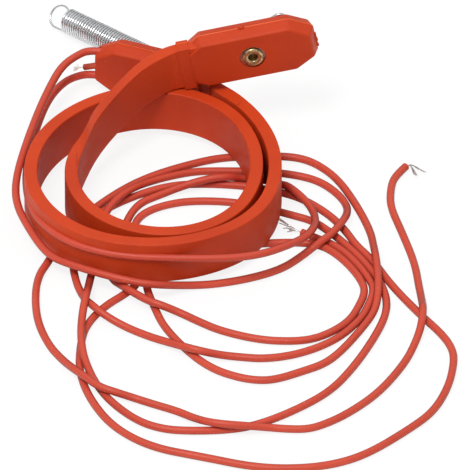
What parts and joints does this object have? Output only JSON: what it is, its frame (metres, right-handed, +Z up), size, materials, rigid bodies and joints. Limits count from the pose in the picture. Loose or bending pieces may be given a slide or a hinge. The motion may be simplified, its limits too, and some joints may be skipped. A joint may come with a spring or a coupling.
{
  "type": "silicone heating strap",
  "caption": "Flat silicone heating strap coiled on edge, with moulded end heads, a closing spring, a wire hook and silicone leads with bare strand ends.",
  "frame": {"origin": "middle of the part's box on the floor, without the leads", "axes": "+Z up, along the strap's width; +Y along the longest side, from the coil towards the spring; +X to the right when looking along +Y"},
  "size_m": [0.1402, 0.2274, 0.0418],
  "materials": {
    "strap_silicone": "satin orange-red silicone",
    "head_silicone": "moulded orange-red silicone, faint flow marks",
    "lead_silicone": "satin red silicone",
    "rivet_brass": "rolled brass, speckled",
    "washer_steel": "plain steel, dull",
    "spring_steel": "drawn spring wire, bright",
    "hook_steel": "bent wire, zinc plated",
    "heater_core": "glass yarn wound with resistance wire",
    "splice_metal": "crimped, tinned",
    "tail_silicone": "cut silicone sleeve",
    "glass_fibre": "frayed glass fibres",
    "tinned_strands": "fine tinned copper strands"
  },
  "bodies": {
    "belt": {"strap": "strap_silicone", "heating_cord": "heater_core", "lead_head": "head_silicone", "eyelet_head": "head_silicone", "lead_rivet": "rivet_brass", "lead_washer": "washer_steel", "eyelet_rivet": "rivet_brass", "eyelet_washer": "washer_steel", "upper_splice": "splice_metal", "lower_splice": "splice_metal", "core_tail": "tail_silicone", "core_fibres": "glass_fibre", "upper_lead": "lead_silicone", "lower_lead": "lead_silicone", "upper_strands": "tinned_strands", "lower_strands": "tinned_strands"},
    "closing_spring": {"spring": "spring_steel"},
    "hook": {"closure_hook": "hook_steel"}
  },
  "joints": [
    {"name": "spring_swing", "type": "hinge", "parent": "belt", "child": "closing_spring", "pos_m": [-0.00266, 0.03394, 0.00945], "axis": [0.3577, 0.9338, 0], "range_deg": [0, 100]},
    {"name": "hook_swing", "type": "hinge", "parent": "belt", "child": "hook", "pos_m": [0.02492, 0.02017, 0.03012], "axis": [0.0872, -0.9962, 0], "range_deg": [-30, 90]}
  ]
}
